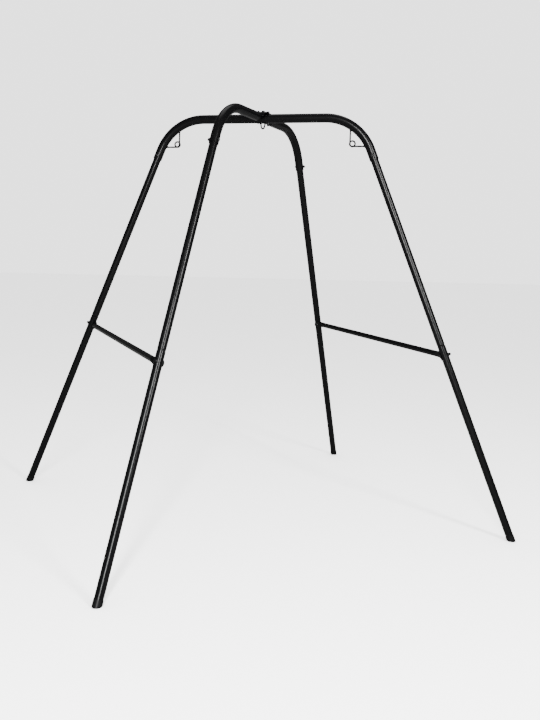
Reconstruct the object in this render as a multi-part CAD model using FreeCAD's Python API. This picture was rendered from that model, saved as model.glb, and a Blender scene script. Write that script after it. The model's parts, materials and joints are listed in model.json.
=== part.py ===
import FreeCAD, Part
import math
import os

# Four-legged tubular steel stand for a hanging hammock chair. Two bent arches of
# different width cross at their tops, each arch carries two splayed two-piece legs,
# and a brace ties the two legs on each side. All sizes are in millimetres.
# Frame: +Z is up, the ground is Z = 0, the origin is on the ground under the crossing,
# X runs across the wide side of the foot rectangle and Y across its narrow side.

Vec = FreeCAD.Vector
UP = Vec(0, 0, 1)

# ---- overall sizes -------------------------------------------------------------
feet_span_x = 2022.0           # between foot centres, side to side
feet_span_y = 1734.0           # between foot centres, front to rear
bar_height = 2010.0            # centreline of both top bars above the ground
long_arch_half_bar = 482.0     # crossing to the corner where bar and leg lines meet
short_arch_half_bar = 421.0    # the same on the shorter arch

# ---- arch tubes ----------------------------------------------------------------
arch_tube_od = 44.0
arch_tube_wall = 2.5
arch_bend_radius = 250.0       # centreline radius of the two bends
arch_arm_straight = 50.0       # straight arm from the end of the bend to the open end

# ---- pressed flat in the short arch, where it passes over the long one ----------
press_seat_gap = 0.15          # between the flat's underside and the long arch's crown
press_flat_length = 62.0       # length of the flat along the bar
press_taper_length = 46.0      # from the flat back to the full round, each side

# ---- leg tubes -----------------------------------------------------------------
socket_clearance = 0.5         # radial, leg tube inside the arch tube
leg_tube_wall = 2.0
socket_end_gap = 2.0           # leg tube end to the start of the bend
neck_clearance = 0.2           # radial, swaged neck inside the lower leg tube
neck_length = 104.0            # swaged neck of the upper leg tube
neck_taper = 7.0               # cone between full diameter and neck
seam_above_brace = 50.0        # seam between upper and lower leg above the brace bolt
seam_gap = 0.4

# ---- feet ----------------------------------------------------------------------
foot_wall = 1.2                # wall of the cap around the leg tube
foot_fit_clearance = 0.1       # radial, cap on leg tube
foot_sleeve_length = 12.0      # how far the cap reaches up the leg
foot_sole_thickness = 14.0     # leg tube end above the ground, on the leg's axis
foot_edge_radius = 4.0
foot_rim_radius = 0.6

# ---- side braces ---------------------------------------------------------------
brace_height_front = 886.0     # brace bolts above the ground, on the leg's axis
brace_height_rear = 930.0      # the same on the rear legs
brace_tube_od = 28.0
brace_tube_wall = 1.5
brace_taper_length = 42.0      # from full round to the flattened end
brace_seat_gap = 0.15          # between flattened tab and leg tube
brace_tab_margin = 15.0        # bolt centre to the tab's free end
brace_fold_clearance = 6.0     # leg tube surface to the fold, beside the leg

# ---- bolts, nuts and washers ---------------------------------------------------
bolt_diameter = 8.0
bolt_hole_clearance = 0.25     # radial, bolt in its holes
thread_clearance = 0.04        # radial, nut on its bolt
bolt_point_beyond_nut = 2.0
dome_head_diameter = 17.0
dome_head_height = 4.4
square_neck_length = 2.0
nut_across_flats = 13.0
nut_height = 8.0
washer_diameter = 16.0
washer_thickness = 1.6
hex_head_height = 5.5
joint_bolt_inset = 20.0        # arch tube's open end to its leg bolt
contact_gap = 0.05             # between faces that are clamped together

crossing_bolt_spacing = 25.0   # centre stud to each side bolt, along the long arch
low_head_height = 2.6          # flat dome under the long arch
low_head_diameter = 16.0
right_bolt_end = 5.0           # thread standing out below the right bolt's nut
stud_diameter = 10.0
stud_nut_across_flats = 17.0
stud_nut_height = 8.4
stud_washer_diameter = 21.0
stud_washer_thickness = 2.0
stud_point_beyond_nut = 1.2

# ---- rods ----------------------------------------------------------------------
rod_diameter = 8.0
hook_half_width = 12.0         # hanging eye, arm centre to loop centre at the tube
hook_drop = 26.0               # tube underside to the eye's lowest rod centre
hook_bottom_radius = 6.5       # rod centreline radius at the bottom of the eye
saddle_thickness = 2.0         # curved plate between the eye and the tube
saddle_end_gap = 1.0           # saddle to the side bolts' washers
saddle_width = 20.0            # across the long arch
eye_inset = 40.0               # corner to the eye's upright arm
eye_drop = 123.0               # top bar centreline to the coil's centre
eye_coil_radius = 13.0         # rod centreline radius of the coil
eye_coil_gap = 0.4             # between neighbouring turns
eye_coil_turns = 1.25

# ---- sizes that follow ---------------------------------------------------------
arch_r = arch_tube_od / 2
arch_bore_r = arch_r - arch_tube_wall
leg_r = arch_bore_r - socket_clearance
leg_bore_r = leg_r - leg_tube_wall
neck_r = leg_bore_r - neck_clearance
neck_bore_r = neck_r - leg_tube_wall
leg_socket_depth = arch_arm_straight - socket_end_gap
saddle_length = 2 * (crossing_bolt_spacing - washer_diameter / 2 - saddle_end_gap)
foot_r = leg_r + foot_fit_clearance + foot_wall
brace_r = brace_tube_od / 2
brace_bore_r = brace_r - brace_tube_wall
rod_r = rod_diameter / 2
bolt_r = bolt_diameter / 2
bolt_hole_r = bolt_r + bolt_hole_clearance
stud_r = stud_diameter / 2
stud_hole_r = stud_r + bolt_hole_clearance
foot_half_diagonal = math.hypot(feet_span_x, feet_span_y) / 2
arch_azimuth = math.atan2(feet_span_y, feet_span_x)


def flattened_width(outer_d, wall):
    """Width of a round tube pressed flat onto itself, its perimeter kept."""
    mid_perimeter = math.pi * (outer_d - wall)
    return (mid_perimeter - math.pi * wall) / 2 + 2 * wall


press_thickness = 2 * arch_tube_wall
press_width = flattened_width(arch_tube_od, arch_tube_wall)
press_centre_z = arch_r + press_seat_gap + press_thickness / 2
press_top_z = bar_height + press_centre_z + press_thickness / 2
tab_thickness = 2 * brace_tube_wall
tab_width = flattened_width(brace_tube_od, brace_tube_wall)


class Arch:
    """Centreline of one arch and its two legs, in the vertical plane through Z."""

    def __init__(self, azimuth, half_bar):
        self.along = Vec(math.cos(azimuth), math.sin(azimuth), 0)
        self.half_bar = half_bar
        run = foot_half_diagonal - half_bar
        self.lean = math.atan2(run, bar_height)
        turn = math.pi / 2 - self.lean
        self.tangent = arch_bend_radius * math.tan(turn / 2)
        self.arm_reach = self.tangent + arch_arm_straight

    def point(self, out, z):
        """Point of the arch's plane at a signed distance from the Z axis."""
        return self.along * out + UP * z


class Leg:
    """Axis of one leg: side is +1 or -1 along its arch."""

    def __init__(self, arch, side):
        self.arch = arch
        self.side = side
        self.corner = arch.point(side * arch.half_bar, bar_height)
        self.foot = arch.point(side * foot_half_diagonal, 0)
        self.brace_height = brace_height_rear if self.foot.y > 0 else brace_height_front
        self.down = (self.foot - self.corner).normalize()
        self.outward = arch.along * side
        self.normal_out = (self.outward * math.cos(arch.lean)
                           + UP * math.sin(arch.lean))
        self.tangent = UP.cross(self.outward)

    def at(self, distance):
        """Point on the leg's axis at a distance below the corner."""
        return self.corner + self.down * distance

    def at_height(self, z):
        """Point on the leg's axis at a height above the ground."""
        return self.at((bar_height - z) / math.cos(self.arch.lean))

    def distance_at_height(self, z):
        """Distance below the corner of the axis point at a height."""
        return (bar_height - z) / math.cos(self.arch.lean)


long_arch = Arch(-arch_azimuth, long_arch_half_bar)
short_arch = Arch(arch_azimuth, short_arch_half_bar)
legs = {
    "left_rear": Leg(long_arch, -1),
    "right_front": Leg(long_arch, 1),
    "left_front": Leg(short_arch, -1),
    "right_rear": Leg(short_arch, 1),
}


# ---- shape helpers -------------------------------------------------------------
def cylinder(start, end, radius):
    """Solid cylinder between two points."""
    axis = end - start
    return Part.makeCylinder(radius, axis.Length, start, axis)


def along_axis(shape, base, axis):
    """Moves a shape built on +Z at the origin to a base point and direction."""
    shape.Placement = FreeCAD.Placement(base, FreeCAD.Rotation(UP, axis))
    return shape


def ring_washer(base, axis, outer_d, bore_r, thickness):
    """Flat round washer."""
    outer = Part.makeCylinder(outer_d / 2, thickness)
    bore = Part.makeCylinder(bore_r, thickness)
    return along_axis(outer.cut(bore), base, axis)


def hex_body(across_flats, height):
    """Hexagonal prism on +Z with both ends chamfered, as on nuts and bolt heads."""
    corner_r = across_flats / math.sqrt(3)
    corners = [Vec(corner_r * math.cos(math.radians(60 * i)),
                   corner_r * math.sin(math.radians(60 * i)), 0) for i in range(7)]
    prism = Part.Face(Part.makePolygon(corners)).extrude(Vec(0, 0, height))
    land_r = across_flats / 2 * 0.96
    chamfer = (corner_r - land_r) * math.tan(math.radians(30))
    outline = [Vec(0, 0, 0), Vec(land_r, 0, 0), Vec(corner_r, 0, chamfer),
               Vec(corner_r, 0, height - chamfer), Vec(land_r, 0, height),
               Vec(0, 0, height), Vec(0, 0, 0)]
    turned = Part.Face(Part.makePolygon(outline)).revolve(Vec(0, 0, 0), UP, 360)
    return prism.common(turned)


def lock_nut(base, axis, across_flats, height, bore_r):
    """Hexagonal lock nut with the round collar of its insert on the free end."""
    hexagon = hex_body(across_flats, height * 0.72)
    collar = Part.makeCylinder(across_flats / 2 * 0.9, height)
    collar = collar.makeFillet(height * 0.14, [collar.Edges[0]])
    nut = hexagon.fuse(collar).cut(Part.makeCylinder(bore_r, height))
    return along_axis(nut, base, axis)


def dome(base, axis, diameter, height):
    """Low domed bolt head: a spherical cap on a flat face."""
    sphere_r = ((diameter / 2) ** 2 + height ** 2) / (2 * height)
    ball = Part.makeSphere(sphere_r, Vec(0, 0, height - sphere_r))
    return along_axis(ball.common(Part.makeCylinder(diameter, height)), base, axis)


def pointed_shank(start, end, radius):
    """Bolt shank whose far end has a 45 degree chamfer."""
    axis = (end - start).normalize()
    chamfer = radius * 0.2
    shank = cylinder(start, end - axis * chamfer, radius)
    tip = Part.makeCone(radius, radius - chamfer, chamfer, end - axis * chamfer, axis)
    return shank.fuse(tip)


def stadium(centre, width_axis, thick_axis, width, thickness):
    """Closed wire of a flattened tube: two flats joined by two half rounds."""
    flat = (width - thickness) / 2
    r = thickness / 2
    corner = [centre + width_axis * flat * i + thick_axis * r * j
              for i, j in ((1, -1), (1, 1), (-1, 1), (-1, -1))]
    tips = [centre + width_axis * (flat + r), centre - width_axis * (flat + r)]
    edges = [Part.Arc(corner[0], tips[0], corner[1]).toShape(),
             Part.LineSegment(corner[1], corner[2]).toShape(),
             Part.Arc(corner[2], tips[1], corner[3]).toShape(),
             Part.LineSegment(corner[3], corner[0]).toShape()]
    return Part.Wire(edges)


def round_section(centre, width_axis, thick_axis, radius):
    """Circle split into four arcs that match the four edges of a stadium."""
    def rim(degrees):
        a = math.radians(degrees)
        return centre + width_axis * radius * math.cos(a) + thick_axis * radius * math.sin(a)
    stops = ((-35, 0, 35), (35, 90, 145), (145, 180, 215), (215, 270, 325))
    return Part.Wire([Part.Arc(*[rim(d) for d in stop]).toShape() for stop in stops])


def swept_tube(path_edges, start, direction, outer_r, bore_r):
    """Hollow tube along a smooth path of lines and arcs."""
    solids = []
    for radius in (outer_r, bore_r):
        profile = Part.Wire(Part.makeCircle(radius, start, direction))
        solids.append(Part.Wire(path_edges).makePipeShell([profile], True, False))
    return solids


def save(name, shape):
    """Writes one node as a STEP file after checking its solids."""
    solids = shape.Solids
    if not solids or not all(s.isValid() and s.Volume > 0 for s in solids):
        raise ValueError("node " + name + " isn't made of valid solids")
    body = solids[0] if len(solids) == 1 else Part.makeCompound(solids)
    body.exportStep(os.path.join("parts", name + ".step"))
    print(name, len(solids), "solid(s)", round(sum(s.Volume for s in solids)), "mm3")


# ---- arch tubes ----------------------------------------------------------------
def arch_half(arch, side, bar_from):
    """Outer and bore solids of half an arch, from a bar station to the open end."""
    leg = Leg(arch, side)
    out = arch.along * side
    start = arch.point(side * bar_from, bar_height)
    bend_start = leg.corner - out * arch.tangent
    bend_end = leg.corner + leg.down * arch.tangent
    open_end = leg.corner + leg.down * arch.arm_reach
    bisector = (leg.down - out).normalize()
    centre_distance = math.hypot(arch_bend_radius, arch.tangent)
    bend_mid = leg.corner + bisector * (centre_distance - arch_bend_radius)
    edges = [Part.LineSegment(start, bend_start).toShape(),
             Part.Arc(bend_start, bend_mid, bend_end).toShape(),
             Part.LineSegment(bend_end, open_end).toShape()]
    return swept_tube(edges, start, out, arch_r, arch_bore_r)


def joint_bolt_point(leg):
    """Axis point of the bolt that fixes a leg in its arch tube."""
    return leg.at(leg.arch.arm_reach - joint_bolt_inset)


def joint_bolt_holes(arch):
    """Cross holes for the two leg bolts of an arch, square to the arch's plane."""
    tools = []
    for side in (-1, 1):
        leg = Leg(arch, side)
        centre = joint_bolt_point(leg)
        reach = leg.tangent * arch_tube_od
        tools.append(cylinder(centre - reach, centre + reach, bolt_hole_r))
    return tools


def crossing_points():
    """Axis points of the three crossing bolts, in a row along the long arch."""
    centre = UP * bar_height
    step = long_arch.along * crossing_bolt_spacing
    return centre - step, centre, centre + step


def crossing_holes(below, above):
    """Upright holes of the crossing between two distances from the bar's axis."""
    tools = []
    for centre, radius in zip(crossing_points(), (bolt_hole_r, stud_hole_r, bolt_hole_r)):
        tools.append(cylinder(centre + UP * below, centre + UP * above, radius))
    return tools


def make_long_arch():
    """Long arch: a plain bent tube, drilled at the crossing and at both open ends."""
    outer_a, bore_a = arch_half(long_arch, -1, 0)
    outer_b, bore_b = arch_half(long_arch, 1, 0)
    outer = outer_a.fuse(outer_b).removeSplitter()
    bore = bore_a.fuse(bore_b).removeSplitter()
    tools = joint_bolt_holes(long_arch) + crossing_holes(-arch_tube_od, arch_tube_od)
    return outer, outer.cut([bore] + tools)


def press_section(station, width, thickness):
    """Flattened section of the short arch's bar at a station along it."""
    centre = short_arch.point(station, bar_height + press_centre_z)
    return stadium(centre, UP.cross(short_arch.along), UP, width, thickness)


def press_taper(side, round_r, flat_station, width, thickness):
    """Loft between the round bar and a flattened section."""
    round_station = side * (press_flat_length / 2 + press_taper_length)
    centre = short_arch.point(round_station, bar_height)
    circle = round_section(centre, UP.cross(short_arch.along), UP, round_r)
    flat = press_section(side * flat_station, width, thickness)
    return Part.makeLoft([flat, circle], True, True)


def make_short_arch():
    """Short arch: bent tube pressed flat at its middle to lie on the long arch."""
    half = press_flat_length / 2
    flat_face = Part.Face(press_section(-half, press_width, press_thickness))
    outer = flat_face.extrude(short_arch.along * press_flat_length)
    bores = []
    for side in (-1, 1):
        arm_outer, arm_bore = arch_half(short_arch, side, half + press_taper_length)
        taper = press_taper(side, arch_r, half, press_width, press_thickness)
        slit_width = press_width - 4 * arch_tube_wall
        slit = press_taper(side, arch_bore_r, half + arch_tube_wall, slit_width,
                           arch_tube_wall / 2)
        outer = outer.fuse([taper, arm_outer])
        bores += [arm_bore, slit]
    tools = bores + joint_bolt_holes(short_arch)
    tools += crossing_holes(0, press_centre_z + press_thickness)
    return outer.cut(tools)


# ---- legs ----------------------------------------------------------------------
def seam_distance(leg):
    """Distance below the corner of the seam between upper and lower leg."""
    return leg.distance_at_height(leg.brace_height) - seam_above_brace


def brace_bolt_hole(leg):
    """Cross hole for the brace bolt, in the arch's plane and square to the leg."""
    centre = leg.at_height(leg.brace_height)
    reach = leg.normal_out * arch_tube_od
    return cylinder(centre - reach, centre + reach, bolt_hole_r)


def make_upper_leg(leg):
    """Upper leg tube: full diameter above, swaged to a neck at its lower end."""
    seam = seam_distance(leg)
    top = leg.at(leg.arch.arm_reach - leg_socket_depth)
    shoulder = leg.at(seam - neck_taper)
    neck_start = leg.at(seam)
    neck_end = leg.at(seam + neck_length)
    outer = cylinder(top, shoulder, leg_r)
    outer = outer.fuse(Part.makeCone(leg_r, neck_r, neck_taper, shoulder, leg.down))
    outer = outer.fuse(cylinder(neck_start, neck_end, neck_r))
    bore = cylinder(top, shoulder, leg_bore_r)
    bore = bore.fuse(Part.makeCone(leg_bore_r, neck_bore_r, neck_taper, shoulder, leg.down))
    bore = bore.fuse(cylinder(neck_start, neck_end, neck_bore_r))
    centre = joint_bolt_point(leg)
    reach = leg.tangent * arch_tube_od
    joint_hole = cylinder(centre - reach, centre + reach, bolt_hole_r)
    return outer.cut([bore, joint_hole, brace_bolt_hole(leg)])


def make_lower_leg(leg):
    """Lower leg tube: slips over the neck and ends square inside the foot cap."""
    top = leg.at(seam_distance(leg) + seam_gap)
    end = leg.at_height(foot_sole_thickness)
    tube = cylinder(top, end, leg_r)
    return tube.cut([cylinder(top, end, leg_bore_r), brace_bolt_hole(leg)])


def make_foot_cap(leg):
    """Moulded foot: a sleeve on the leg with a sole that lies flat on the ground."""
    tube_end = leg.at_height(foot_sole_thickness)
    rim = tube_end - leg.down * foot_sleeve_length
    below = tube_end + leg.down * foot_sole_thickness * 4
    blank = cylinder(rim, below, foot_r)
    ground = Part.makeBox(8 * foot_r, 8 * foot_r, 8 * foot_r)
    ground.translate(leg.foot - Vec(4 * foot_r, 4 * foot_r, 8 * foot_r))
    blank = blank.cut(ground)
    sole = [e for e in blank.Edges if abs(e.BoundBox.ZMax) < 0.01]
    blank = blank.makeFillet(foot_edge_radius, sole)
    rims = [e for e in blank.Edges if e.BoundBox.ZMin > foot_sleeve_length / 2
            and e.Closed and isinstance(e.Curve, Part.Circle)]
    blank = blank.makeFillet(foot_rim_radius, rims)
    return blank.cut(cylinder(rim, tube_end, leg_r + foot_fit_clearance))


# ---- braces --------------------------------------------------------------------
class BraceEnd:
    """Flattened end of a brace, folded to lie on the inner side of a leg."""

    def __init__(self, leg):
        self.leg = leg
        self.axis_point = leg.at_height(leg.brace_height)
        self.normal = leg.normal_out
        offset = leg_r + brace_seat_gap + tab_thickness / 2
        self.centre = self.axis_point - self.normal * offset
        self.fold = self.centre

    def aim(self, direction):
        """Sets the fold for a brace that leaves this end along a direction."""
        self.width_axis = direction.cross(self.normal).normalize()
        self.length_axis = self.normal.cross(self.width_axis).normalize()
        if self.length_axis.dot(direction) < 0:
            self.length_axis = self.length_axis * -1
        self.fold = self.centre + self.length_axis * (leg_r + brace_fold_clearance)
        self.thick_axis = direction.cross(self.width_axis).normalize()
        self.direction = direction


def aimed_ends(leg_a, leg_b):
    """Both ends of a brace, turned until each folds onto the common axis."""
    ends = BraceEnd(leg_a), BraceEnd(leg_b)
    for _ in range(8):
        direction = (ends[1].fold - ends[0].fold).normalize()
        ends[0].aim(direction)
        ends[1].aim(direction * -1)
    return ends


def round_tab_end(tab, end):
    """Rounds the free corners of a tab: an arc through its end and both edges."""
    half = tab_width / 2
    arc_r = (half ** 2 + brace_tab_margin ** 2) / (2 * brace_tab_margin)
    middle = end.centre + end.length_axis * (arc_r - brace_tab_margin)
    reach = end.normal * tab_thickness * 2
    disc = cylinder(middle - reach, middle + reach, arc_r)
    behind = Part.makeBox(4 * tab_width, 4 * tab_width, 4 * tab_width)
    behind.translate(Vec(-2 * tab_width, -2 * tab_width, 0))
    along_axis(behind, end.centre, end.length_axis)
    return tab.common(disc.fuse(behind))


def brace_end_shape(end):
    """Tab, fold and taper of one flattened brace end, with the taper's hollow."""
    tab_face = Part.Face(stadium(end.fold, end.width_axis, end.normal, tab_width, tab_thickness))
    tab_length = leg_r + brace_fold_clearance + brace_tab_margin
    tab = tab_face.extrude(end.length_axis * -tab_length)
    tab = round_tab_end(tab, end)
    hinge = cylinder(end.fold - end.width_axis * (tab_width - tab_thickness) / 2,
                     end.fold + end.width_axis * (tab_width - tab_thickness) / 2,
                     tab_thickness / 2)
    flat = stadium(end.fold, end.width_axis, end.thick_axis, tab_width, tab_thickness)
    full = end.fold + end.direction * brace_taper_length
    circle = round_section(full, end.width_axis, end.thick_axis, brace_r)
    taper = Part.makeLoft([flat, circle], True, True)
    slit_centre = end.fold + end.direction * brace_tube_wall * 3
    slit = stadium(slit_centre, end.width_axis, end.thick_axis,
                   tab_width - 6 * brace_tube_wall, brace_tube_wall / 2)
    bore_end = round_section(full, end.width_axis, end.thick_axis, brace_bore_r)
    hollow = Part.makeLoft([slit, bore_end], True, True)
    return tab.fuse([hinge, taper]), hollow, full


def make_brace(leg_a, leg_b):
    """Side brace: round tube with both ends pressed flat, folded and drilled."""
    ends = aimed_ends(leg_a, leg_b)
    pieces, hollows, rounds = zip(*[brace_end_shape(end) for end in ends])
    body = cylinder(rounds[0], rounds[1], brace_r).fuse(list(pieces))
    tools = list(hollows) + [cylinder(rounds[0], rounds[1], brace_bore_r)]
    for end in ends:
        reach = end.normal * leg_r
        tools.append(cylinder(end.centre - reach, end.centre + reach, bolt_hole_r))
    return body.cut(tools)


# ---- bolts ---------------------------------------------------------------------
def carriage_bolt(head_face, axis, grip):
    """Domed bolt: head below head_face, shank along axis through grip, washer, nut."""
    stack = grip + washer_thickness + 2 * contact_gap + nut_height + bolt_point_beyond_nut
    head = dome(head_face, axis * -1, dome_head_diameter, dome_head_height)
    neck = Part.makeBox(bolt_diameter, bolt_diameter, square_neck_length)
    neck.translate(Vec(-bolt_r, -bolt_r, 0))
    along_axis(neck, head_face, axis)
    neck = neck.common(cylinder(head_face, head_face + axis * grip, bolt_hole_r - contact_gap))
    shank = pointed_shank(head_face, head_face + axis * stack, bolt_r)
    washer_base = head_face + axis * (grip + contact_gap)
    washer = ring_washer(washer_base, axis, washer_diameter, bolt_hole_r, washer_thickness)
    nut_base = washer_base + axis * (washer_thickness + contact_gap)
    nut = lock_nut(nut_base, axis, nut_across_flats, nut_height, bolt_r + thread_clearance)
    return head.fuse([neck, shank]), washer, nut


def make_joint_fasteners():
    """Leg bolts at the arch ends: nuts on the clockwise side of each leg."""
    sets = []
    for leg in legs.values():
        axis = leg.tangent * -1
        head_face = joint_bolt_point(leg) - axis * (arch_r + contact_gap)
        sets.append(carriage_bolt(head_face, axis, arch_tube_od + contact_gap))
    return [Part.makeCompound(list(group)) for group in zip(*sets)]


def make_brace_fasteners():
    """Brace bolts: head on the brace's tab, nut on the outer side of the leg."""
    sets = []
    for leg in legs.values():
        axis = leg.normal_out
        inner = leg_r + brace_seat_gap + tab_thickness + contact_gap
        head_face = leg.at_height(leg.brace_height) - axis * inner
        sets.append(carriage_bolt(head_face, axis, inner + leg_r))
    return [Part.makeCompound(list(group)) for group in zip(*sets)]


def crossing_nut_stack(point):
    """Washer and lock nut on the pressed flat, over one side bolt."""
    washer_base = Vec(point.x, point.y, press_top_z + contact_gap)
    washer = ring_washer(washer_base, UP, washer_diameter, bolt_hole_r, washer_thickness)
    nut_base = washer_base + UP * (washer_thickness + contact_gap)
    nut = lock_nut(nut_base, UP, nut_across_flats, nut_height, bolt_r + thread_clearance)
    return washer, nut, nut_base.z + nut_height


def make_left_crossing_bolt():
    """Side bolt put in from below: low flat dome under the long arch, nut on top."""
    point = crossing_points()[0]
    washer, nut, nut_top = crossing_nut_stack(point)
    head_face = point - UP * (arch_r + contact_gap)
    head = dome(head_face, UP * -1, low_head_diameter, low_head_height)
    end = Vec(point.x, point.y, nut_top + bolt_point_beyond_nut)
    return head.fuse(pointed_shank(head_face, end, bolt_r)), washer, nut


def make_right_crossing_bolt():
    """Side bolt put in from above: hexagon head on a washer, nut under the tube."""
    point = crossing_points()[2]
    upper_base = Vec(point.x, point.y, press_top_z + contact_gap)
    upper = ring_washer(upper_base, UP, washer_diameter, bolt_hole_r, washer_thickness)
    head_base = upper_base + UP * (washer_thickness + contact_gap)
    head = along_axis(hex_body(nut_across_flats, hex_head_height), head_base, UP)
    lower_base = point - UP * (arch_r + contact_gap)
    lower = ring_washer(lower_base, UP * -1, washer_diameter, bolt_hole_r, washer_thickness)
    nut_base = lower_base - UP * (washer_thickness + contact_gap)
    nut = lock_nut(nut_base, UP * -1, nut_across_flats, nut_height, bolt_r + thread_clearance)
    end = nut_base - UP * (nut_height + right_bolt_end)
    return head.fuse(pointed_shank(head_base, end, bolt_r)), [upper, lower], nut


# ---- rods ----------------------------------------------------------------------
def stud_nut_base():
    """Height of the hanging eye's nut on its washer."""
    return press_top_z + stud_washer_thickness + 2 * contact_gap


def make_saddle():
    """Curved plate that hugs the underside of the long arch at its middle."""
    along = long_arch.along
    across = UP.cross(along)
    inner = arch_r + contact_gap
    outer = inner + saddle_thickness
    half_angle = math.asin(saddle_width / 2 / outer)
    start = UP * bar_height - along * (saddle_length / 2)

    def rim(radius, angle):
        return start + across * radius * math.sin(angle) - UP * radius * math.cos(angle)

    edges = [Part.Arc(rim(inner, -half_angle), rim(inner, 0), rim(inner, half_angle)).toShape(),
             Part.LineSegment(rim(inner, half_angle), rim(outer, half_angle)).toShape(),
             Part.Arc(rim(outer, half_angle), rim(outer, 0), rim(outer, -half_angle)).toShape(),
             Part.LineSegment(rim(outer, -half_angle), rim(inner, -half_angle)).toShape()]
    return Part.Face(Part.Wire(edges)).extrude(along * saddle_length)


def make_hanging_eye():
    """Hanging eye: V of bent rod on a curved saddle, with a stud through the tube."""
    lowest = bar_height - arch_r - hook_drop
    arc_centre = UP * (lowest + hook_bottom_radius)
    root_z = bar_height - arch_r
    drop = root_z - arc_centre.z
    root_distance = math.hypot(hook_half_width, drop)
    spread = (math.atan2(hook_half_width, drop)
              + math.acos(hook_bottom_radius / root_distance))
    along = long_arch.along
    middle = UP * bar_height
    above = middle + along * saddle_length
    mid_plate = cylinder(middle - along * saddle_length, above,
                         arch_r + contact_gap + saddle_thickness / 2)
    ends = []
    arms = []
    for side in (-1, 1):
        touch = (arc_centre + along * side * hook_bottom_radius * math.sin(spread)
                 + UP * hook_bottom_radius * math.cos(spread))
        root = along * side * hook_half_width + UP * root_z
        beyond = root + (root - touch).normalize() * rod_diameter
        arms.append(cylinder(touch, beyond, rod_r).cut(mid_plate))
        ends.append(touch)
    bend = Part.Wire(Part.Arc(ends[0], UP * lowest, ends[1]).toShape())
    heading = bend.Edges[0].tangentAt(bend.Edges[0].FirstParameter)
    profile = Part.Wire(Part.makeCircle(rod_r, ends[0], heading))
    bend = bend.makePipeShell([profile], True, False)
    stud_end = UP * (stud_nut_base() + stud_nut_height + stud_point_beyond_nut)
    stud_start = UP * (root_z - contact_gap - saddle_thickness / 2)
    stud = pointed_shank(stud_start, stud_end, stud_r)
    return bend.fuse(arms).fuse([make_saddle(), stud])


def make_wire_eye(leg, arch_outer):
    """Rod eye inside a bend: upright arm, one open coil, level arm to the leg."""
    out = leg.outward
    lateral = out.cross(UP)
    coil_s = leg.arch.half_bar - eye_inset + eye_coil_radius
    coil_z = bar_height - eye_drop
    pitch = rod_diameter + eye_coil_gap
    half_span = pitch * eye_coil_turns / 2
    helix = Part.makeHelix(pitch, pitch * eye_coil_turns, eye_coil_radius)
    start = Vec(eye_coil_radius, 0, 0)
    slope = pitch / (2 * math.pi * eye_coil_radius)
    profile = Part.Wire(Part.makeCircle(rod_r, start, Vec(0, 1, slope)))
    coil = Part.Wire(helix.Edges).makePipeShell([profile], True, True)
    centre = out * coil_s + UP * coil_z - lateral * half_span
    frame = FreeCAD.Matrix(-out.x, 0, lateral.x, centre.x,
                           -out.y, 0, lateral.y, centre.y,
                           0, -1, lateral.z, centre.z,
                           0, 0, 0, 1)
    coil = coil.transformGeometry(frame)
    upright_foot = centre - out * eye_coil_radius
    bend_centre_s = leg.arch.half_bar - leg.arch.tangent
    upright_s = coil_s - eye_coil_radius
    rise = math.sqrt(arch_bend_radius ** 2 - (upright_s - bend_centre_s) ** 2)
    upright_top = Vec(upright_foot.x, upright_foot.y, bar_height - arch_bend_radius + rise)
    level_root = centre + lateral * 2 * half_span - UP * eye_coil_radius
    fall = level_root.z - (bar_height - arch_bend_radius)
    level_end_s = bend_centre_s + math.sqrt(arch_bend_radius ** 2 - fall ** 2)
    level_end = level_root + out * (level_end_s - coil_s)
    upright = cylinder(upright_foot, upright_top, rod_r)
    upright = upright.fuse(Part.makeSphere(rod_r, upright_foot)).cut(arch_outer)
    level = cylinder(level_root, level_end, rod_r)
    level = level.fuse(Part.makeSphere(rod_r, level_root)).cut(arch_outer)
    return coil.fuse([upright, level])


# ---- the whole stand -----------------------------------------------------------
def main():
    """Builds every node and writes it to parts/."""
    os.makedirs("parts", exist_ok=True)
    long_outer, long_tube = make_long_arch()
    save("long_arch_tube", long_tube)
    save("short_arch_tube", make_short_arch())
    for name, leg in legs.items():
        save("upper_leg_" + name, make_upper_leg(leg))
        save("lower_leg_" + name, make_lower_leg(leg))
        save("foot_cap_" + name, make_foot_cap(leg))
    save("side_brace_left", make_brace(legs["left_rear"], legs["left_front"]))
    save("side_brace_right", make_brace(legs["right_rear"], legs["right_front"]))
    save("hanging_eye", make_hanging_eye())
    save("hanging_eye_washer", ring_washer(UP * (press_top_z + contact_gap), UP,
                                           stud_washer_diameter, stud_hole_r,
                                           stud_washer_thickness))
    save("hanging_eye_nut", lock_nut(UP * stud_nut_base(), UP, stud_nut_across_flats,
                                     stud_nut_height, stud_r + thread_clearance))
    save("wire_eye_left", make_wire_eye(legs["left_rear"], long_outer))
    save("wire_eye_right", make_wire_eye(legs["right_front"], long_outer))
    joint_bolts, joint_washers, joint_nuts = make_joint_fasteners()
    save("leg_joint_bolts", joint_bolts)
    save("leg_joint_washers", joint_washers)
    save("leg_joint_nuts", joint_nuts)
    brace_bolts, brace_washers, brace_nuts = make_brace_fasteners()
    save("brace_bolts", brace_bolts)
    save("brace_washers", brace_washers)
    save("brace_nuts", brace_nuts)
    left_bolt, left_washer, left_nut = make_left_crossing_bolt()
    right_bolt, right_washers, right_nut = make_right_crossing_bolt()
    save("crossing_bolt_left", left_bolt)
    save("crossing_bolt_right", right_bolt)
    save("crossing_washers", Part.makeCompound([left_washer] + right_washers))
    save("crossing_nuts", Part.makeCompound([left_nut, right_nut]))


main()
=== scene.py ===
"""Hammock chair stand: finishes, welds, threads and small parts round the fixed frame."""
import json
import logging
import math
from dataclasses import dataclass, field
from enum import Enum

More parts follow.
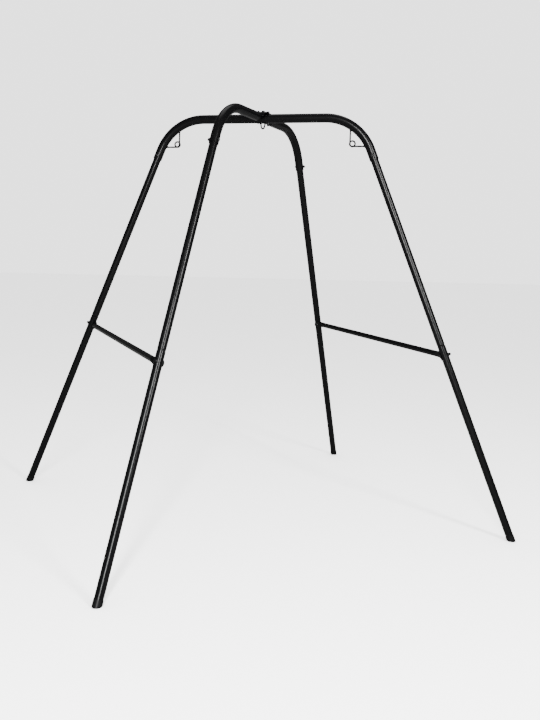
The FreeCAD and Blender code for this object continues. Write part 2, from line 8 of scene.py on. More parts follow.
import bpy
import numpy as np
from mathutils import Matrix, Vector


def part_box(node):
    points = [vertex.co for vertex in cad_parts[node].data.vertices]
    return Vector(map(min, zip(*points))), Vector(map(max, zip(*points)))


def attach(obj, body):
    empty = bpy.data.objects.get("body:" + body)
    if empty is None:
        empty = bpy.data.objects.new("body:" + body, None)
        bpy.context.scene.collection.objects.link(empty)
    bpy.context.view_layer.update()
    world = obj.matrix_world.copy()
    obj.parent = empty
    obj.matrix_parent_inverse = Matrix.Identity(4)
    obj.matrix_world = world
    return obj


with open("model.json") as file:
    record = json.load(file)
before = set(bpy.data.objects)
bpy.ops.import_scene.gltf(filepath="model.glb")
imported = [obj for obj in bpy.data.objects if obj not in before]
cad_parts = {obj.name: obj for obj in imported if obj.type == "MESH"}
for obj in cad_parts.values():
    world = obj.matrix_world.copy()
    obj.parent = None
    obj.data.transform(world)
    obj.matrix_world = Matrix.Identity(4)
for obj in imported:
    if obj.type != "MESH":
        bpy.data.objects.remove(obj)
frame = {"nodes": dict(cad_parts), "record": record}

log = logging.getLogger("stand")
MM = 0.001
UP = np.array([0.0, 0.0, 1.0])
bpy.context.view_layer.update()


class Slot(Enum):
    """Material slots of the record, by what wears the finish."""

    TUBE = "black_tube"
    ROD = "black_rod"
    FASTENER = "black_fastener"
    WASHER = "black_washer"
    FOOT = "foot_plastic"


# ---- shader node groups --------------------------------------------------------
class GroupBuilder:
    """Makes one shader node group with named sockets."""

    def __init__(self, name: str, inputs: dict[str, float], outputs: dict[str, str]) -> None:
        """Creates the group and its sockets.

        Args:
            name: Name of the group.
            inputs: Number inputs with their default values.
            outputs: Outputs with their socket types.
        """
        self.tree = bpy.data.node_groups.new(name, "ShaderNodeTree")
        for label, default in inputs.items():
            socket = self.tree.interface.new_socket(
                name=label, in_out="INPUT", socket_type="NodeSocketFloat")
            socket.default_value = default
        for label, kind in outputs.items():
            self.tree.interface.new_socket(name=label, in_out="OUTPUT", socket_type=kind)
        self.source = self.tree.nodes.new("NodeGroupInput")
        self.sink = self.tree.nodes.new("NodeGroupOutput")

    def add(self, kind: str, **settings: object) -> bpy.types.Node:
        """Adds a node and sets its properties.

        Args:
            kind: Type of the node without its ShaderNode prefix.
            **settings: Properties of the node.

        Returns:
            The new node.
        """
        node = self.tree.nodes.new("ShaderNode" + kind)
        for key, value in settings.items():
            setattr(node, key, value)
        return node

    def math(self, operation: str, first: object, second: object = None) -> bpy.types.NodeSocket:
        """Adds a Math node.

        Args:
            operation: Name of the operation.
            first: Socket or number for the first value.
            second: Socket or number for the second value, if the operation has one.

        Returns:
            The output socket.
        """
        node = self.add("Math", operation=operation)
        for place, value in enumerate((first, second)):
            if isinstance(value, (int, float)):
                node.inputs[place].default_value = value
            elif value is not None:
                self.link(value, node.inputs[place])
        return node.outputs[0]

    def link(self, out_socket: bpy.types.NodeSocket, in_socket: bpy.types.NodeSocket) -> None:
        """Joins two sockets."""
        self.tree.links.new(out_socket, in_socket)


def coat_grain_group() -> bpy.types.NodeTree:
    """Orange peel of a sprayed and baked coat.

    Height is a fine noise plus a third of a noise four times as wide. Mottle is a broad
    noise that makes the gloss uneven.

    Returns:
        The node group, with Size and Mottle Size in metres as its inputs.
    """
    group = GroupBuilder("coat_grain", {"Size": 0.0016, "Mottle Size": 0.09},
                         {"Height": "NodeSocketFloat", "Mottle": "NodeSocketFloat"})
    place = group.add("TexCoord")
    heights = []
    for widen in (1.0, 4.0):
        scale = group.math("DIVIDE", 1.0 / widen, group.source.outputs["Size"])
        noise = group.add("TexNoise", noise_dimensions="3D")
        noise.inputs["Detail"].default_value = 2.0
        noise.inputs["Roughness"].default_value = 0.45
        group.link(place.outputs["Object"], noise.inputs["Vector"])
        group.link(scale, noise.inputs["Scale"])
        heights.append(noise.outputs["Fac"])
    broad = group.math("DIVIDE", heights[1], 3.0)
    group.link(group.math("ADD", heights[0], broad), group.sink.inputs["Height"])
    scale = group.math("DIVIDE", 1.0, group.source.outputs["Mottle Size"])
    mottle = group.add("TexNoise", noise_dimensions="3D")
    mottle.inputs["Detail"].default_value = 4.0
    mottle.inputs["Roughness"].default_value = 0.6
    mottle.inputs["Distortion"].default_value = 0.4
    group.link(place.outputs["Object"], mottle.inputs["Vector"])
    group.link(scale, mottle.inputs["Scale"])
    group.link(mottle.outputs["Fac"], group.sink.inputs["Mottle"])
    return group.tree


def dust_group() -> bpy.types.NodeTree:
    """Thin dust that settles on faces which look upwards, in uneven specks.

    Returns:
        The node group, whose Mask runs from 0 to its Amount.
    """
    group = GroupBuilder("settled_dust", {"Amount": 0.2, "Size": 0.012},
                         {"Mask": "NodeSocketFloat"})
    place = group.add("TexCoord")
    surface = group.add("NewGeometry")
    split = group.add("SeparateXYZ")
    group.link(surface.outputs["Normal"], split.inputs["Vector"])
    upward = group.add("MapRange", interpolation_type="SMOOTHSTEP")
    upward.inputs["From Min"].default_value = 0.35
    upward.inputs["From Max"].default_value = 1.0
    group.link(split.outputs["Z"], upward.inputs["Value"])
    noise = group.add("TexNoise", noise_dimensions="3D")
    noise.inputs["Detail"].default_value = 8.0
    noise.inputs["Roughness"].default_value = 0.7
    group.link(place.outputs["Object"], noise.inputs["Vector"])
    group.link(group.math("DIVIDE", 1.0, group.source.outputs["Size"]), noise.inputs["Scale"])
    specks = group.add("MapRange", interpolation_type="SMOOTHSTEP")
    specks.inputs["From Min"].default_value = 0.4
    specks.inputs["From Max"].default_value = 0.75
    group.link(noise.outputs["Fac"], specks.inputs["Value"])
    lying = group.math("MULTIPLY", upward.outputs["Result"], specks.outputs["Result"])
    mask = group.math("MULTIPLY", lying, group.source.outputs["Amount"])
    group.link(mask, group.sink.inputs["Mask"])
    return group.tree


def edge_rub_group() -> bpy.types.NodeTree:
    """Wear along sharp edges, broken up by noise.

    A rounded normal turns away from the true one near an edge. One minus their dot product
    is large there, and noise breaks it into scuffs.

    Returns:
        The node group, whose Mask runs from 0 to its Amount.
    """
    group = GroupBuilder("edge_rub", {"Amount": 0.5, "Size": 0.004}, {"Mask": "NodeSocketFloat"})
    place = group.add("TexCoord")
    surface = group.add("NewGeometry")
    rounded = group.add("Bevel", samples=4)
    rounded.inputs["Radius"].default_value = 0.6 * MM
    dot = group.add("VectorMath", operation="DOT_PRODUCT")
    group.link(surface.outputs["Normal"], dot.inputs[0])
    group.link(rounded.outputs["Normal"], dot.inputs[1])
    bend = group.add("MapRange", interpolation_type="SMOOTHSTEP")
    bend.inputs["From Min"].default_value = 0.02
    bend.inputs["From Max"].default_value = 0.22
    group.link(group.math("SUBTRACT", 1.0, dot.outputs["Value"]), bend.inputs["Value"])
    noise = group.add("TexNoise", noise_dimensions="3D")
    noise.inputs["Detail"].default_value = 5.0
    group.link(place.outputs["Object"], noise.inputs["Vector"])
    group.link(group.math("DIVIDE", 1.0, group.source.outputs["Size"]), noise.inputs["Scale"])
    scuff = group.add("MapRange", interpolation_type="SMOOTHSTEP")
    scuff.inputs["From Min"].default_value = 0.42
    scuff.inputs["From Max"].default_value = 0.62
    group.link(noise.outputs["Fac"], scuff.inputs["Value"])
    rubbed = group.math("MULTIPLY", bend.outputs["Result"], scuff.outputs["Result"])
    mask = group.math("MULTIPLY", rubbed, group.source.outputs["Amount"])
    group.link(mask, group.sink.inputs["Mask"])
    return group.tree


@dataclass(frozen=True)
class ShaderKit:
    """The shared node groups."""

    grain: bpy.types.NodeTree
    dust: bpy.types.NodeTree
    rub: bpy.types.NodeTree


# ---- finishes ------------------------------------------------------------------
@dataclass(frozen=True)
class DarkFinish:
    """A black finish: base colour, gloss, grain, settled dust and rubbed edges."""

    slot: Slot
    colour: tuple[float, float, float]
    rub_colour: tuple[float, float, float]
    roughness: float
    metallic: float = 0.0
    rub_metallic: float = 0.0
    specular: float = 0.5
    grain_size: float = 1.6 * MM
    grain_height: float = 0.02 * MM
    mottle: float = 0.06
    dust: float = 0.15
    rub: float = 0.3
    dust_colour: tuple[float, float, float] = (0.18, 0.17, 0.16)
    dust_dulling: float = 0.5

    def build(self, kit: ShaderKit) -> bpy.types.Material:
        """Makes the material.

        Args:
            kit: The shared node groups.

        Returns:
            The material.
        """
        material = bpy.data.materials.new(self.slot.value)
        material.use_nodes = True
        tree = material.node_tree
        shader = tree.nodes["Principled BSDF"]
        shader.inputs["Specular IOR Level"].default_value = self.specular
        grain = self._place(tree, kit.grain, {"Size": self.grain_size})
        dust = self._place(tree, kit.dust, {"Amount": self.dust})
        rub = self._place(tree, kit.rub, {"Amount": self.rub})
        worn = self._blend(tree, rub.outputs["Mask"], self.colour, self.rub_colour)
        dusty = self._blend(tree, dust.outputs["Mask"], worn, self.dust_colour)
        tree.links.new(dusty, shader.inputs["Base Color"])
        gloss = tree.nodes.new("ShaderNodeMapRange")
        gloss.inputs["To Min"].default_value = self.roughness - self.mottle
        gloss.inputs["To Max"].default_value = self.roughness + self.mottle
        tree.links.new(grain.outputs["Mottle"], gloss.inputs["Value"])
        rougher = tree.nodes.new("ShaderNodeMath")
        rougher.operation = "MULTIPLY_ADD"
        rougher.inputs[1].default_value = self.dust_dulling
        tree.links.new(dust.outputs["Mask"], rougher.inputs[0])
        tree.links.new(gloss.outputs["Result"], rougher.inputs[2])
        tree.links.new(rougher.outputs[0], shader.inputs["Roughness"])
        metal = tree.nodes.new("ShaderNodeMapRange")
        metal.inputs["To Min"].default_value = self.metallic
        metal.inputs["To Max"].default_value = self.rub_metallic
        tree.links.new(rub.outputs["Mask"], metal.inputs["Value"])
        tree.links.new(metal.outputs["Result"], shader.inputs["Metallic"])
        bump = tree.nodes.new("ShaderNodeBump")
        bump.inputs["Distance"].default_value = self.grain_height
        tree.links.new(grain.outputs["Height"], bump.inputs["Height"])
        tree.links.new(bump.outputs["Normal"], shader.inputs["Normal"])
        return material

    @staticmethod
    def _place(tree: bpy.types.NodeTree, group: bpy.types.NodeTree,
               values: dict[str, float]) -> bpy.types.Node:
        """Places a shared group in a material with its own values."""
        node = tree.nodes.new("ShaderNodeGroup")
        node.node_tree = group
        for label, value in values.items():
            node.inputs[label].default_value = value
        return node

    @staticmethod
    def _blend(tree: bpy.types.NodeTree, mask: bpy.types.NodeSocket, under: object,
               over: tuple[float, float, float]) -> bpy.types.NodeSocket:
        """Mixes a colour over another by a mask and returns the result's socket."""
        mix = tree.nodes.new("ShaderNodeMix")
        mix.data_type = "RGBA"
        tree.links.new(mask, mix.inputs["Factor"])
        if isinstance(under, tuple):
            mix.inputs[6].default_value = (*under, 1.0)
        else:
            tree.links.new(under, mix.inputs[6])
        mix.inputs[7].default_value = (*over, 1.0)
        return mix.outputs[2]


FINISHES = (
    DarkFinish(Slot.TUBE, (0.001, 0.001, 0.0011), (0.006, 0.006, 0.0063), 0.24,
               specular=0.1, rub=0.15, mottle=0.04, dust=0.006, grain_height=0.008 * MM),
    DarkFinish(Slot.ROD, (0.001, 0.001, 0.0011), (0.006, 0.006, 0.0063), 0.2,
               specular=0.1, grain_size=1.2 * MM, grain_height=0.008 * MM, mottle=0.04,
               rub=0.2, dust=0.006),
    DarkFinish(Slot.FASTENER, (0.0015, 0.0015, 0.0017), (0.03, 0.029, 0.028), 0.26,
               rub_metallic=0.8, specular=0.12, grain_size=0.5 * MM,
               grain_height=0.005 * MM, rub=0.35, dust=0.006),
    DarkFinish(Slot.WASHER, (0.002, 0.002, 0.0022), (0.035, 0.034, 0.033), 0.3,
               rub_metallic=0.8, specular=0.12, grain_size=0.5 * MM,
               grain_height=0.005 * MM, rub=0.3, dust=0.006),
    DarkFinish(Slot.FOOT, (0.0015, 0.0015, 0.0016), (0.006, 0.006, 0.006), 0.4,
               specular=0.08, grain_size=0.7 * MM, grain_height=0.02 * MM, mottle=0.08,
               dust=0.012, rub=0.3),
)


# ---- surfaces from arrays ------------------------------------------------------
def ring_surface(name: str, rings: np.ndarray, looped: bool) -> bpy.types.Object:
    """Makes a closed mesh from rings of points.

    Neighbouring rings are joined by quads. A looped surface joins its last ring to its
    first. Any other one gets a fan of triangles to the middle of each end ring. The faces
    are turned if the signed volume comes out negative.

    Args:
        name: Name of the piece.
        rings: Points as an array of rings, points in a ring, and three coordinates.
        looped: Whether the last ring joins the first.

    Returns:
        The new object, at the origin.
    """
    count, around, _ = rings.shape
    index = np.arange(count * around).reshape(count, around)
    lower = index if looped else index[:-1]
    upper = np.roll(index, -1, axis=0) if looped else index[1:]
    quads = np.stack([lower, np.roll(lower, -1, 1), np.roll(upper, -1, 1), upper], -1)
    quads = quads.reshape(-1, 4)
    points = rings.reshape(-1, 3)
    triangles = np.zeros((0, 3), int)
    if not looped:
        poles = np.stack([rings[0].mean(0), rings[-1].mean(0)])
        first = np.stack([np.roll(index[0], -1), index[0],
                          np.full(around, len(points))], -1)
        last = np.stack([index[-1], np.roll(index[-1], -1),
                         np.full(around, len(points) + 1)], -1)
        points = np.vstack([points, poles])
        triangles = np.vstack([first, last])
    halves = np.vstack([quads[:, [0, 1, 2]], quads[:, [0, 2, 3]], triangles])
    a, b, c = (points[halves[:, i]] for i in range(3))
    if (np.cross(a, b) * c).sum() < 0:
        quads = quads[:, ::-1]
        triangles = triangles[:, ::-1]
    mesh = bpy.data.meshes.new(name)
    mesh.from_pydata(points.tolist(), [], quads.tolist() + triangles.tolist())
    mesh.polygons.foreach_set("use_smooth", np.ones(len(mesh.polygons), bool))
    mesh.update()
    piece = bpy.data.objects.new(name, mesh)
    bpy.context.scene.collection.objects.link(piece)
    return piece


def unit(vector: np.ndarray) -> np.ndarray:
    """Vector of length one along the same direction."""
    return vector / np.linalg.norm(vector)


def across_pair(axis: np.ndarray) -> tuple[np.ndarray, np.ndarray]:
    """Two unit vectors square to an axis and to each other."""
    helper = UP if abs(axis[2]) < 0.9 else np.array([1.0, 0.0, 0.0])
    first = unit(np.cross(helper, axis))
    return first, np.cross(axis, first)


# ---- where things are ----------------------------------------------------------
def mid_value(values: np.ndarray) -> float:
    """Value halfway between the least and the greatest."""
    return float((values.min() + values.max()) / 2)


def node_points(name: str) -> np.ndarray:
    """Corner points of a frame node, in metres."""
    mesh = frame["nodes"][name].data
    points = np.zeros(len(mesh.vertices) * 3)
    mesh.vertices.foreach_get("co", points)
    return points.reshape(-1, 3)


def nearest_points(name: str, base: np.ndarray, reach: float) -> np.ndarray:
    """Points of a node that belong to the copy nearest an upright line.

    Args:
        name: Name of a node made of several alike parts.
        base: A point on the line.
        reach: Greatest distance from the line, in metres.

    Returns:
        The points within reach, seen from above.
    """
    points = node_points(name)
    return points[np.hypot(*(points[:, :2] - base[:2]).T) < reach]


@dataclass(frozen=True)
class LegLine:
    """Axis of one leg, from the record's foot mount and the lower leg's box."""

    name: str
    foot: np.ndarray
    middle: np.ndarray

    @property
    def rise(self) -> np.ndarray:
        """Unit vector up the leg."""
        return unit(self.middle - self.foot)

    @property
    def outward(self) -> np.ndarray:
        """Level unit vector away from the stand's middle."""
        return unit(self.foot * np.array([1.0, 1.0, 0.0]))

    @property
    def across(self) -> np.ndarray:
        """Level unit vector square to the leg's arch."""
        return np.cross(UP, self.outward)

    @property
    def normal(self) -> np.ndarray:
        """Unit vector square to the leg, outwards and up."""
        return np.cross(self.across, self.rise) * -1

    def at_height(self, height: float) -> np.ndarray:
        """Axis point at a height above the ground."""
        return self.foot + self.rise * (height / self.rise[2])


def read_legs() -> dict[str, LegLine]:
    """Leg axes by the names of their places."""
    legs = {}
    for mount in frame["record"]["mounts"]:
        if mount["name"].startswith("foot_"):
            name = mount["name"][len("foot_"):]
            low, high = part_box("lower_leg_" + name)
            middle = (np.array(low) + np.array(high)) / 2
            legs[name] = LegLine(name, np.array(mount["pos_m"], float), middle)
    return legs


# ---- threads -------------------------------------------------------------------
@dataclass
class ThreadedEnd:
    """Rolled thread on the end of a bolt that stands out of its nut."""

    name: str
    bolt_node: str
    nut_node: str
    axis: np.ndarray
    base: np.ndarray
    radius: float = 4.0 * MM
    pitch: float = 1.25 * MM
    depth: float = 0.32 * MM
    proud: float = 0.14 * MM
    reach: float = 30.0 * MM
    crest_power: float = 0.8
    core_depths: float = 2.2
    tip_gap: float = 0.01 * MM
    rows_per_pitch: int = 14
    fewest_rows: int = 8
    points_around: int = 48

    def build(self) -> bpy.types.Object:
        """Builds the thread.

        The radius at an angle and a distance along the axis is the crest radius less the
        depth times a raised cosine of the distance in pitches minus the angle in turns.
        It shrinks to the core over the last half pitch.

        Returns:
            The new piece.
        """
        bolt = nearest_points(self.bolt_node, self.base, self.reach)
        nut = nearest_points(self.nut_node, self.base, self.reach)
        first, second = across_pair(self.axis)
        middle = sum(d * mid_value(nut @ d) for d in (first, second))
        start = (nut @ self.axis).max() - self.pitch / 4
        end = (bolt @ self.axis).max() - self.tip_gap
        rows = max(self.fewest_rows, int((end - start) / self.pitch * self.rows_per_pitch))
        along = np.linspace(start, end, rows)[:, None]
        angle = np.linspace(0, 2 * math.pi, self.points_around, endpoint=False)[None, :]
        phase = (along - start) / self.pitch - angle / (2 * math.pi)
        wave = 0.5 - 0.5 * np.cos(2 * math.pi * phase)
        crest = self.radius + self.proud
        radius = crest - self.depth * wave ** self.crest_power
        run_out = np.clip((end - along) / (self.pitch / 2), 0, 1)
        core = crest - self.depth * self.core_depths
        radius = core + (radius - core) * np.sqrt(run_out)
        rings = (middle + self.axis * along[..., None]
                 + first * (radius * np.cos(angle))[..., None]
                 + second * (radius * np.sin(angle))[..., None])
        return ring_surface(self.name, rings, looped=False)


# ---- welds ---------------------------------------------------------------------
@dataclass
class WeldBead:
    """Ring of weld between a rod and a tube, rippled as it was laid."""

    name: str
    seam: np.ndarray
    rod_axis: np.ndarray
    centre: np.ndarray
    bead: float = 2.0 * MM
    ripple: float = 0.12
    ripples: int = 17
    wander: float = 0.05
    points_around: int = 14

    def build(self) -> bpy.types.Object:
        """Builds the bead.

        A round section follows the seam. Its two directions are away from the rod's axis
        and along it. Its radius swells by the ripple share times the size of a sine of the
        place along the seam, and by a slower seeded wander.

        Returns:
            The new piece.
        """
        count = len(self.seam)
        turn = np.linspace(0, 2 * math.pi, count, endpoint=False)
        away = self.seam - self.centre
        away = away - (away @ self.rod_axis)[:, None] * self.rod_axis
        away = away / np.linalg.norm(away, axis=1)[:, None]
        shift = np.random.default_rng(len(self.name)).uniform(0, 2 * math.pi, 3)
        wander = sum(np.sin(turn * (k + 2) + shift[k]) for k in range(3)) * self.wander
        size = self.bead * (1 + self.ripple * np.abs(np.sin(turn * self.ripples / 2)) + wander)
        angle = np.linspace(0, 2 * math.pi, self.points_around, endpoint=False)
        sweep = (away[:, None, :] * np.cos(angle)[None, :, None]
                 + self.rod_axis[None, None, :] * np.sin(angle)[None, :, None])
        rings = self.seam[:, None, :] + sweep * size[:, None, None]
        return ring_surface(self.name, rings, looped=True)


@dataclass
class WireEyeWelds:
    """Welds of one wire eye's upright and level arms inside a bend of the long arch."""

    side: str
    leg: LegLine
    tube_radius: float = 22.0 * MM
    bend_radius: float = 250.0 * MM
    rod_radius: float = 4.0 * MM
    samples: int = 96

    def _plane(self, points: np.ndarray) -> tuple[np.ndarray, np.ndarray, np.ndarray]:
        """Outward, lateral and upward coordinates of points."""
        lateral = np.cross(self.leg.outward, UP)
        return points @ self.leg.outward, points @ lateral, points[:, 2]

    def build(self) -> list[bpy.types.Object]:
        """Builds both beads.

        The bend is part of a ring whose centreline has the bend radius. Inside it, a point
        at a lateral distance touches the tube where its distance from the bend's centre is
        the bend radius less the root of tube radius squared minus lateral squared. That
        gives the height of the upright arm's seam and the outward place of the level arm's.

        Returns:
            The two new pieces.
        """
        out = self.leg.outward
        bar_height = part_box("long_arch_tube")[1][2] - self.tube_radius
        lean = math.asin(min(1.0, float(np.hypot(*self.leg.rise[:2]))))
        tangent = self.bend_radius * math.tan((math.pi / 2 - lean) / 2)
        bend_out = self.leg.at_height(bar_height) @ out - tangent
        bend_height = bar_height - self.bend_radius
        outward, sideways, height = self._plane(node_points("wire_eye_" + self.side))
        turn = np.linspace(0, 2 * math.pi, self.samples, endpoint=False)
        rod_cos, rod_sin = self.rod_radius * np.cos(turn), self.rod_radius * np.sin(turn)
        near_top = height > height.max() - self.rod_radius
        arm_out = outward[near_top].min() + self.rod_radius + rod_cos
        arm_side = mid_value(sideways[near_top]) + rod_sin
        meet_height = bend_height + self._inside(arm_side, arm_out - bend_out)
        upright = self._seam(arm_out, arm_side, meet_height)
        near_end = outward > outward.max() - self.rod_radius * 2
        arm_height = mid_value(height[near_end]) + rod_cos
        near_tip = outward > outward.max() - self.rod_radius / 2
        arm_side = mid_value(sideways[near_tip]) + rod_sin
        meet_out = bend_out + self._inside(arm_side, arm_height - bend_height)
        level = self._seam(meet_out, arm_side, arm_height)
        beads = [WeldBead("weld_upright_" + self.side, upright, UP, upright.mean(0)),
                 WeldBead("weld_level_" + self.side, level, out, level.mean(0))]
        return [bead.build() for bead in beads]

    def _inside(self, lateral: np.ndarray, offset: np.ndarray) -> np.ndarray:
        """Distance from the bend's centre to its inner face, square to an offset."""
        inner = self.bend_radius - np.sqrt(self.tube_radius ** 2 - lateral ** 2)
        return np.sqrt(inner ** 2 - offset ** 2)

    def _seam(self, outward: np.ndarray, sideways: np.ndarray,
              height: np.ndarray) -> np.ndarray:
        """Points from their outward, lateral and upward coordinates."""
        lateral = np.cross(self.leg.outward, UP)
        return (self.leg.outward * outward[:, None] + lateral * sideways[:, None]
                + UP * height[:, None])


@dataclass
class HangingEyeWelds:
    """Welds of the hanging eye's two arms on its curved saddle."""

    along: np.ndarray
    tube_radius: float = 22.0 * MM
    saddle_thickness: float = 2.05 * MM
    rod_radius: float = 4.0 * MM
    half_width: float = 12.0 * MM
    drop: float = 26.0 * MM
    bottom_radius: float = 6.5 * MM
    bead: float = 1.5 * MM
    samples: int = 72

    def build(self) -> list[bpy.types.Object]:
        """Builds both beads.

        Each arm leans away from the eye's round bottom, at the angle of the tangent from
        the arm's root to the bottom's circle. Its seam is where the arm's round surface
        meets the saddle's outer face, a cylinder round the bar's axis.

        Returns:
            The two new pieces.
        """
        bar_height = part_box("long_arch_tube")[1][2] - self.tube_radius
        root_drop = self.drop - self.bottom_radius
        far = math.hypot(self.half_width, root_drop)
        spread = math.atan2(self.half_width, root_drop) + math.acos(self.bottom_radius / far)
        touch_aside = self.bottom_radius * math.sin(spread)
        touch_height = -root_drop + self.bottom_radius * math.cos(spread)
        across = np.cross(UP, self.along)
        turn = np.linspace(0, 2 * math.pi, self.samples, endpoint=False)
        outer = self.tube_radius + self.saddle_thickness
        pieces = []
        for side, label in ((-1, "left"), (1, "right")):
            root = self.along * side * self.half_width + UP * (bar_height - self.tube_radius)
            touch = (self.along * side * touch_aside
                     + UP * (bar_height - self.tube_radius + touch_height))
            axis = unit(root - touch)
            aside = unit(np.cross(across, axis))
            skin = (root + aside * (self.rod_radius * np.cos(turn))[:, None]
                    + across * (self.rod_radius * np.sin(turn))[:, None])
            meet_z = bar_height - np.sqrt(outer ** 2 - (skin @ across) ** 2)
            seam = skin + axis * ((meet_z - skin[:, 2]) / axis[2])[:, None]
            bead = WeldBead("weld_hanging_eye_" + label, seam, axis, seam.mean(0),
                            bead=self.bead)
            pieces.append(bead.build())
        return pieces


# ---- sub-assemblies ------------------------------------------------------------
@dataclass
class Stand:
    """The whole stand: carried-over nodes with their finishes, and the added pieces."""

    finishes: dict[Slot, bpy.types.Material]
    legs: dict[str, LegLine] = field(default_factory=read_legs)
    near_leg: float = 60.0 * MM
    near_crossing_bolt: float = 11.0 * MM
    near_stud: float = 12.0 * MM
    stud_radius: float = 5.0 * MM
    stud_pitch: float = 1.5 * MM

    def dress_frame_nodes(self) -> None:
        """Gives every node of the frame the finish of its slot in the record."""
        for part in frame["record"]["subparts"]:
            mesh = frame["nodes"][part["node"]].data
            mesh.materials.clear()
            mesh.materials.append(self.finishes[Slot(part["material_slot"])])
            log.info("dressed %s in %s", part["node"], part["material_slot"])

    def adopt(self, piece: bpy.types.Object, slot: Slot) -> None:
        """Gives a new piece the finish of its slot and its body."""
        piece.data.materials.append(self.finishes[slot])
        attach(piece, "root")
        log.info("built %s with %d faces", piece.name, len(piece.data.polygons))

    def add_threads(self) -> None:
        """Threads on every bolt end that stands out of its nut."""
        ends = []
        for name, leg in self.legs.items():
            for kind, axis in (("leg_joint", -leg.across), ("brace", leg.normal)):
                place = self._bolt_place(kind + "_bolts", leg)
                ends.append(ThreadedEnd("thread_" + kind + "_" + name, kind + "_bolts",
                                        kind + "_nuts", axis, place, reach=self.near_leg))
        for side, axis in (("left", UP), ("right", -UP)):
            bolt = "crossing_bolt_" + side
            low, high = (np.array(corner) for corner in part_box(bolt))
            ends.append(ThreadedEnd("thread_crossing_" + side, bolt, "crossing_nuts", axis,
                                    (low + high) / 2, reach=self.near_crossing_bolt))
        ends.append(ThreadedEnd("thread_hanging_stud", "hanging_eye", "hanging_eye_nut", UP,
                                np.zeros(3), radius=self.stud_radius, pitch=self.stud_pitch,
                                reach=self.near_stud))
        for end in ends:
            self.adopt(end.build(), Slot.FASTENER)

    @staticmethod
    def _bolt_place(node: str, leg: LegLine) -> np.ndarray:
        """Axis point of a leg at the middle height of the bolt in its quarter."""
        points = node_points(node)
        near = ((points[:, :2] * np.sign(leg.foot[:2])) > 0).all(1)
        return leg.at_height(mid_value(points[near, 2]))

    def add_welds(self) -> None:
        """Beads where the rods are welded on."""
        pieces = WireEyeWelds("left", self.legs["left_rear"]).build()
        pieces += WireEyeWelds("right", self.legs["right_front"]).build()
        pieces += HangingEyeWelds(self.legs["right_front"].outward).build()
        for piece in pieces:
            self.adopt(piece, Slot.ROD)


# ---- studio --------------------------------------------------------------------
@dataclass(frozen=True)
class SoftLight:
    """A rectangular lamp that looks at the stand's middle."""

    name: str
    place: tuple[float, float, float]
    width: float
    height: float
    power: float
    target: tuple[float, float, float] = (0.0, 0.0, 1.0)

    def build(self) -> None:
        """Adds the lamp."""
        lamp = bpy.data.lights.new(self.name, "AREA")
        lamp.shape = "RECTANGLE"
        lamp.size, lamp.size_y, lamp.energy = self.width, self.height, self.power
        holder = bpy.data.objects.new(self.name, lamp)
        bpy.context.scene.collection.objects.link(holder)
        back = unit(np.array(self.place) - np.array(self.target))
        side = unit(np.cross(UP, back))
        holder.matrix_world = placed(side, np.cross(back, side), back, np.array(self.place))


@dataclass(frozen=True)
class StudioCamera:
    """Camera set by its direction, roll, distance and the stand's place in its view."""

    azimuth: float = -25.24
    elevation: float = 7.61
    roll: float = 2.06
    distance: float = 3.9811
    aside: float = -0.0559
    above: float = -0.2066
    lens: float = 38.62
    shift: tuple[float, float] = (0.0040, 0.0001)
    target: tuple[float, float, float] = (0.0, 0.0, 1.005)

    def build(self) -> None:
        """Adds the camera and makes it the scene's."""
        turn, tilt, roll = (math.radians(a) for a in (self.azimuth, self.elevation, self.roll))
        forward = np.array([-math.sin(turn) * math.cos(tilt), math.cos(turn) * math.cos(tilt),
                            -math.sin(tilt)])
        level = np.array([math.cos(turn), math.sin(turn), 0.0])
        down = np.cross(forward, level)
        right = math.cos(roll) * level - math.sin(roll) * down
        down = math.sin(roll) * level + math.cos(roll) * down
        place = (np.array(self.target) - right * self.aside - down * self.above
                 - forward * self.distance)
        data = bpy.data.cameras.new("camera")
        data.lens = self.lens
        data.shift_x, data.shift_y = self.shift
        holder = bpy.data.objects.new("camera", data)
        bpy.context.scene.collection.objects.link(holder)
        holder.matrix_world = placed(right, -down, -forward, place)
        bpy.context.scene.camera = holder


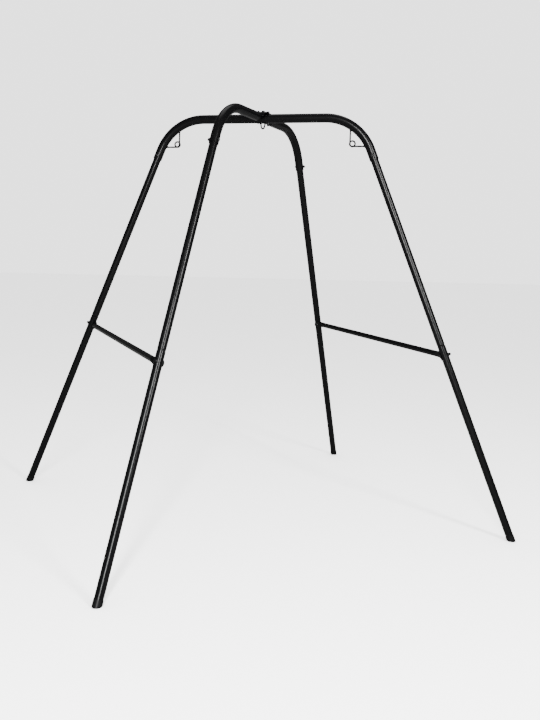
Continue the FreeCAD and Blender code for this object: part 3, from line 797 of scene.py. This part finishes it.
@dataclass(frozen=True)
class Studio:
    """Pale floor, soft lamps and a plain surround."""

    floor_half: float = 40.0
    floor_grey: float = 0.9
    floor_grey_in_gloss: float = 0.14
    floor_roughness: float = 0.9
    floor_specular: float = 0.1
    surround: float = 2.7
    dim_surround: float = 0.12
    backdrop: float = 2.55
    lamps: tuple[SoftLight, ...] = (
        SoftLight("key_lamp", (-2.4, -4.3, 2.4), 0.25, 3.4, 820.0),
        SoftLight("side_lamp", (1.0, -4.6, 3.2), 0.22, 2.6, 480.0),
        SoftLight("top_lamp", (0.3, 0.6, 5.2), 2.4, 2.4, 40.0),
    )

    def build(self) -> None:
        """Adds floor, lamps, surround and camera."""
        half = self.floor_half
        corners = [(-half, -half, 0), (half, -half, 0), (half, half, 0), (-half, half, 0)]
        mesh = bpy.data.meshes.new("floor")
        mesh.from_pydata(corners, [], [(0, 1, 2, 3)])
        floor = bpy.data.objects.new("floor", mesh)
        bpy.context.scene.collection.objects.link(floor)
        pale = bpy.data.materials.new("pale_floor")
        pale.use_nodes = True
        nodes, links = pale.node_tree.nodes, pale.node_tree.links
        shader = nodes["Principled BSDF"]
        shader.inputs["Base Color"].default_value = (*[self.floor_grey] * 3, 1.0)
        shader.inputs["Roughness"].default_value = self.floor_roughness
        shader.inputs["Specular IOR Level"].default_value = self.floor_specular
        dim = nodes.new("ShaderNodeBsdfDiffuse")
        dim.inputs["Color"].default_value = (*[self.floor_grey_in_gloss] * 3, 1.0)
        pick = nodes.new("ShaderNodeMixShader")
        links.new(nodes.new("ShaderNodeLightPath").outputs["Is Glossy Ray"], pick.inputs[0])
        links.new(shader.outputs[0], pick.inputs[1])
        links.new(dim.outputs[0], pick.inputs[2])
        links.new(pick.outputs[0], nodes["Material Output"].inputs["Surface"])
        mesh.materials.append(pale)
        for lamp in self.lamps:
            lamp.build()
        world = bpy.data.worlds.new("surround")
        bpy.context.scene.world = world
        world.use_nodes = True
        tree = world.node_tree
        tree.nodes.clear()
        out = tree.nodes.new("ShaderNodeOutputWorld")
        ray = tree.nodes.new("ShaderNodeLightPath")
        light = self._glow(tree, self.surround)
        for seen_by, grey in (("Is Glossy Ray", self.dim_surround),
                              ("Is Camera Ray", self.backdrop)):
            pick = tree.nodes.new("ShaderNodeMixShader")
            tree.links.new(ray.outputs[seen_by], pick.inputs[0])
            tree.links.new(light, pick.inputs[1])
            tree.links.new(self._glow(tree, grey), pick.inputs[2])
            light = pick.outputs[0]
        tree.links.new(light, out.inputs["Surface"])
        StudioCamera().build()

    @staticmethod
    def _glow(tree: bpy.types.NodeTree, grey: float) -> bpy.types.NodeSocket:
        """Plain grey surround light of a given strength."""
        glow = tree.nodes.new("ShaderNodeBackground")
        glow.inputs["Color"].default_value = (1.0, 1.0, 1.0, 1.0)
        glow.inputs["Strength"].default_value = grey
        return glow.outputs[0]


def placed(x: np.ndarray, y: np.ndarray, z: np.ndarray, place: np.ndarray) -> Matrix:
    """World matrix of an object from its three axes and its place."""
    rows = [[x[i], y[i], z[i], place[i]] for i in range(3)]
    return Matrix(rows + [[0.0, 0.0, 0.0, 1.0]])


def main() -> None:
    """Builds the finishes, the stand and the studio in order."""
    logging.basicConfig(level=logging.INFO, format="%(name)s: %(message)s")
    kit = ShaderKit(coat_grain_group(), dust_group(), edge_rub_group())
    finishes = {finish.slot: finish.build(kit) for finish in FINISHES}
    stand = Stand(finishes)
    stand.dress_frame_nodes()
    stand.add_threads()
    stand.add_welds()
    Studio().build()


if __name__ == "__main__":
    main()
